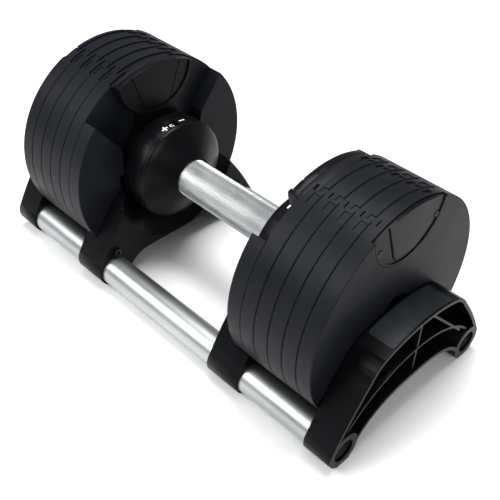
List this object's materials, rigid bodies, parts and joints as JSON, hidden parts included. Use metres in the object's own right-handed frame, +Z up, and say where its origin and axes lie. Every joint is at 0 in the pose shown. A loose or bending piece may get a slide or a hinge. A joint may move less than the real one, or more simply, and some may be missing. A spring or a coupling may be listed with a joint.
{
  "type": "adjustable dumbbell",
  "caption": "Adjustable dumbbell with turning grip, sliding lock rods and interlocking plates, resting in a storage tray of tube rails and ribbed end brackets.",
  "frame": {"origin": "on the ground, under the middle of the handle and the tray", "axes": "+X along the handle, +Y across it, +Z up"},
  "size_m": [0.368, 0.1738, 0.1675],
  "materials": {
    "rail": "satin tube",
    "bracket": "satin moulded",
    "bracket_screw": "black zinc",
    "foot_pad": "matt",
    "plate": "satin charcoal paint",
    "end_cap": "satin moulded",
    "plate_screw": "black oxide",
    "grip": "fine knurl",
    "tube": "machined",
    "hub": "satin moulded",
    "tongue": "satin charcoal paint",
    "hub_screw": "black oxide",
    "number_ring": "moulded",
    "bush": "sintered bronze",
    "steel": "ground",
    "spring": "drawn wire",
    "marking": "printed white",
    "label": "blank film label"
  },
  "bodies": {
    "tray": {"front_rail": "rail", "back_rail": "rail", "left_outer_bracket": "bracket", "left_inner_bracket": "bracket", "right_inner_bracket": "bracket", "right_outer_bracket": "bracket", "bracket_screws": "bracket_screw", "foot_pads": "foot_pad"},
    "left_weight_1": {"left_ring_plate": "plate", "left_plate_1": "plate", "left_ring_screws": "plate_screw"},
    "left_weight_2": {"left_plate_2": "plate"},
    "left_weight_3": {"left_plate_3": "plate"},
    "left_weight_4": {"left_plate_4": "plate"},
    "left_weight_5": {"left_plate_5": "plate", "left_end_cap": "end_cap", "left_cap_screws": "steel"},
    "right_weight_1": {"right_ring_plate": "plate", "right_plate_1": "plate", "right_ring_screws": "plate_screw"},
    "right_weight_2": {"right_plate_2": "plate"},
    "right_weight_3": {"right_plate_3": "plate"},
    "right_weight_4": {"right_plate_4": "plate"},
    "right_weight_5": {"right_plate_5": "plate", "right_end_cap": "end_cap", "right_cap_screws": "steel"},
    "handle": {"left_hub_cover": "hub", "left_hub_housing": "hub", "left_tongue_plate": "tongue", "left_hub_screws": "hub_screw", "left_hub_bush": "bush", "left_rod_bush": "bush", "left_lock_spring": "spring", "right_hub_cover": "hub", "right_hub_housing": "hub", "right_tongue_plate": "tongue", "right_hub_screws": "hub_screw", "right_hub_bush": "bush", "right_rod_bush": "bush", "right_lock_spring": "spring"},
    "grip": {"grip_sleeve": "grip", "drive_tube": "tube", "left_number_ring": "number_ring", "left_retaining_ring": "steel", "right_number_ring": "number_ring", "right_retaining_ring": "steel"},
    "left_rod": {"left_lock_rod": "steel", "left_follower_pin": "steel"},
    "left_lock": {"left_lock_pin": "steel"},
    "right_rod": {"right_lock_rod": "steel", "right_follower_pin": "steel"},
    "right_lock": {"right_lock_pin": "steel"}
  },
  "joints": [
    {"name": "left_weight_5_lift", "type": "slide", "parent": "tray", "child": "left_weight_5", "axis": [0, 0, 1], "range_m": [0, 0.12]},
    {"name": "left_weight_4_lift", "type": "slide", "parent": "left_weight_5", "child": "left_weight_4", "axis": [0, 0, 1], "range_m": [0, 0.12]},
    {"name": "left_weight_3_lift", "type": "slide", "parent": "left_weight_4", "child": "left_weight_3", "axis": [0, 0, 1], "range_m": [0, 0.12]},
    {"name": "left_weight_2_lift", "type": "slide", "parent": "left_weight_3", "child": "left_weight_2", "axis": [0, 0, 1], "range_m": [0, 0.12]},
    {"name": "left_weight_1_lift", "type": "slide", "parent": "left_weight_2", "child": "left_weight_1", "axis": [0, 0, 1], "range_m": [0, 0.12]},
    {"name": "right_weight_5_lift", "type": "slide", "parent": "tray", "child": "right_weight_5", "axis": [0, 0, 1], "range_m": [0, 0.12]},
    {"name": "right_weight_4_lift", "type": "slide", "parent": "right_weight_5", "child": "right_weight_4", "axis": [0, 0, 1], "range_m": [0, 0.12]},
    {"name": "right_weight_3_lift", "type": "slide", "parent": "right_weight_4", "child": "right_weight_3", "axis": [0, 0, 1], "range_m": [0, 0.12]},
    {"name": "right_weight_2_lift", "type": "slide", "parent": "right_weight_3", "child": "right_weight_2", "axis": [0, 0, 1], "range_m": [0, 0.12]},
    {"name": "right_weight_1_lift", "type": "slide", "parent": "right_weight_2", "child": "right_weight_1", "axis": [0, 0, 1], "range_m": [0, 0.12]},
    {"name": "handle_lift", "type": "slide", "parent": "left_weight_1", "child": "handle", "axis": [0, 0, 1], "range_m": [0, 0.12]},
    {"name": "grip_turn", "type": "hinge", "parent": "handle", "child": "grip", "pos_m": [0, 0, 0.0815], "axis": [1, 0, 0], "range_deg": [0, 300]},
    {"name": "left_rod_slide", "type": "slide", "parent": "handle", "child": "left_rod", "axis": [-1, 0, 0], "range_m": [0, 0.0636]},
    {"name": "right_rod_slide", "type": "slide", "parent": "handle", "child": "right_rod", "axis": [1, 0, 0], "range_m": [0, 0.0636]},
    {"name": "left_lock_drop", "type": "slide", "parent": "handle", "child": "left_lock", "axis": [0, 0, -1], "range_m": [0, 0.0036], "deforming": ["left_lock_spring"]},
    {"name": "right_lock_drop", "type": "slide", "parent": "handle", "child": "right_lock", "axis": [0, 0, -1], "range_m": [0, 0.0036], "deforming": ["right_lock_spring"]}
  ],
  "couplings": [
    {"joint": "right_weight_5_lift", "follows": "left_weight_5_lift", "ratio": 1},
    {"joint": "right_weight_4_lift", "follows": "left_weight_4_lift", "ratio": 1},
    {"joint": "right_weight_3_lift", "follows": "left_weight_3_lift", "ratio": 1},
    {"joint": "right_weight_2_lift", "follows": "left_weight_2_lift", "ratio": 1},
    {"joint": "right_weight_1_lift", "follows": "left_weight_1_lift", "ratio": 1},
    {"joint": "left_rod_slide", "follows": "grip_turn", "m_per_rad": 0.012128},
    {"joint": "right_rod_slide", "follows": "grip_turn", "m_per_rad": 0.012128},
    {"joint": "left_lock_drop", "follows": "handle_lift", "ratio": 0.03},
    {"joint": "right_lock_drop", "follows": "handle_lift", "ratio": 0.03}
  ]
}
